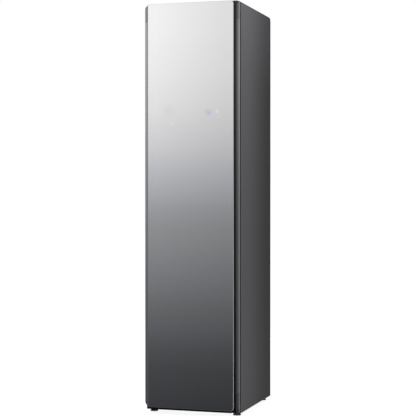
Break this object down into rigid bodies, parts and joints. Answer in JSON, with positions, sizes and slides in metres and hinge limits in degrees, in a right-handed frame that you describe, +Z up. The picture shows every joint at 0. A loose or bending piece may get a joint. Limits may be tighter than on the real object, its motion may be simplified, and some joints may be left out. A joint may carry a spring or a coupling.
{
  "type": "clothes care steam cabinet",
  "caption": "Tall slim steam cabinet for clothes: mirror glass door, treatment chamber with a moving hanger bar and trouser press, water tanks and heat pump below.",
  "frame": {"origin": "on the floor under the middle of the cabinet, which is the bottom centre of its box", "axes": "+Z up, -Y out of the mirror glass door towards the user, +X to the user's right when facing the door, where the door hinges"},
  "size_m": [0.445, 0.585, 1.85],
  "materials": {
    "charcoal_painted_steel": "charcoal metallic paint on folded steel sheet",
    "zinc_coated_steel": "bare zinc coated steel",
    "black_enamelled_steel": "black enamel on drawn steel",
    "satin_grey_trim": "satin metallic grey moulding",
    "mirror_glass": "grey tinted mirror glass with polished edges",
    "black_moulding": "black moulded plastic",
    "dark_grey_moulding": "dark grey moulded plastic",
    "white_moulding": "light grey white moulded liner plastic",
    "clear_tank_plastic": "blue grey translucent tank plastic",
    "lamp_diffuser": "frosted lamp diffuser",
    "grey_rubber": "grey magnetic door seal",
    "black_rubber": "black rubber",
    "insulation_foam": "rigid insulating foam",
    "coil_aluminium": "mill finish aluminium",
    "copper_tube": "drawn copper tube",
    "circuit_board": "green circuit board"
  },
  "bodies": {
    "cabinet": {"left_side_panel": "charcoal_painted_steel", "right_side_panel": "charcoal_painted_steel", "top_panel": "charcoal_painted_steel", "back_panel": "charcoal_painted_steel", "power_cord_gland": "black_rubber", "front_frame": "dark_grey_moulding", "base_tray": "zinc_coated_steel", "top_hinge_arm": "charcoal_painted_steel", "bottom_hinge_arm": "zinc_coated_steel", "chamber_left_wall": "white_moulding", "chamber_right_wall": "white_moulding", "chamber_rear_wall": "white_moulding", "chamber_floor": "white_moulding", "chamber_ceiling": "white_moulding", "chamber_insulation": "insulation_foam", "chamber_lamp": "lamp_diffuser", "steam_nozzle": "zinc_coated_steel", "front_guide_rod": "zinc_coated_steel", "rear_guide_rod": "zinc_coated_steel", "shaker_motor": "zinc_coated_steel", "control_box": "dark_grey_moulding", "rear_air_duct": "white_moulding", "blower_housing": "dark_grey_moulding", "blower_motor": "zinc_coated_steel", "evaporator": "coil_aluminium", "condenser": "coil_aluminium", "drip_tray": "dark_grey_moulding", "compressor": "black_enamelled_steel", "refrigerant_pipe": "copper_tube", "steam_generator": "coil_aluminium", "steam_hose": "black_rubber", "steam_water_pump": "dark_grey_moulding", "drain_pump": "dark_grey_moulding", "tank_bay_housing": "dark_grey_moulding"},
    "door": {"door_glass": "mirror_glass", "door_top_cap": "satin_grey_trim", "door_bottom_cap": "satin_grey_trim", "door_left_trim": "satin_grey_trim", "door_right_trim": "satin_grey_trim", "glass_carrier": "black_moulding", "door_inner_liner": "white_moulding", "door_gasket": "grey_rubber", "display_module": "circuit_board", "door_insulation": "insulation_foam"},
    "press_cover": {"press_cover": "white_moulding"},
    "hanger": {"moving_hanger": "satin_grey_trim"},
    "crank": {"shaker_crank": "zinc_coated_steel"},
    "blower_wheel": {"blower_wheel": "dark_grey_moulding"},
    "drain_tank": {"drain_tank": "dark_grey_moulding", "drain_tank_lid": "dark_grey_moulding"},
    "supply_tank": {"supply_tank": "clear_tank_plastic", "supply_tank_lid": "dark_grey_moulding"},
    "shelf": {"lift_out_shelf": "white_moulding"},
    "lint_filter": {"lint_filter": "dark_grey_moulding"},
    "scent_cartridge": {"scent_cartridge": "white_moulding"},
    "foot_front_left": {"foot_front_left": "black_rubber"},
    "foot_front_right": {"foot_front_right": "black_rubber"},
    "foot_rear_left": {"foot_rear_left": "black_rubber"},
    "foot_rear_right": {"foot_rear_right": "black_rubber"}
  },
  "joints": [
    {"name": "door_hinge", "type": "hinge", "parent": "cabinet", "child": "door", "pos_m": [0.208, -0.27, 0.93], "axis": [0, 0, 1], "range_deg": [0, 110]},
    {"name": "press_cover_hinge", "type": "hinge", "parent": "door", "child": "press_cover", "pos_m": [0.126, -0.2112, 1.07], "axis": [0, 0, -1], "range_deg": [0, 95]},
    {"name": "hanger_shake", "type": "slide", "parent": "cabinet", "child": "hanger", "axis": [1, 0, 0], "range_m": [-0.015, 0.015]},
    {"name": "crank_spin", "type": "hinge", "parent": "cabinet", "child": "crank", "pos_m": [0, 0.128, 1.7303], "axis": [0, 0, 1], "continuous": true},
    {"name": "blower_spin", "type": "hinge", "parent": "cabinet", "child": "blower_wheel", "pos_m": [0.05, 0.2463, 0.232], "axis": [0, 1, 0], "continuous": true},
    {"name": "drain_tank_slide", "type": "slide", "parent": "cabinet", "child": "drain_tank", "axis": [0, -1, 0], "range_m": [0, 0.15]},
    {"name": "supply_tank_slide", "type": "slide", "parent": "cabinet", "child": "supply_tank", "axis": [0, -1, 0], "range_m": [0, 0.11]},
    {"name": "shelf_lift", "type": "slide", "parent": "cabinet", "child": "shelf", "axis": [0, 0, 1], "range_m": [0, 0.06]},
    {"name": "lint_filter_lift", "type": "slide", "parent": "cabinet", "child": "lint_filter", "axis": [0, 0, 1], "range_m": [0, 0.05]},
    {"name": "scent_cartridge_lift", "type": "slide", "parent": "cabinet", "child": "scent_cartridge", "axis": [0, 0, 1], "range_m": [0, 0.05]},
    {"name": "foot_front_left_turn", "type": "hinge", "parent": "cabinet", "child": "foot_front_left", "pos_m": [-0.197, -0.212, 0.01], "axis": [0, 0, 1], "continuous": true},
    {"name": "foot_front_right_turn", "type": "hinge", "parent": "cabinet", "child": "foot_front_right", "pos_m": [0.197, -0.212, 0.01], "axis": [0, 0, 1], "continuous": true},
    {"name": "foot_rear_left_turn", "type": "hinge", "parent": "cabinet", "child": "foot_rear_left", "pos_m": [-0.197, 0.232, 0.01], "axis": [0, 0, 1], "continuous": true},
    {"name": "foot_rear_right_turn", "type": "hinge", "parent": "cabinet", "child": "foot_rear_right", "pos_m": [0.197, 0.232, 0.01], "axis": [0, 0, 1], "continuous": true}
  ],
  "couplings": [
    {"joint": "drain_tank_slide", "follows": "door_hinge", "m_per_rad": 0.078},
    {"joint": "supply_tank_slide", "follows": "door_hinge", "m_per_rad": 0.057}
  ]
}
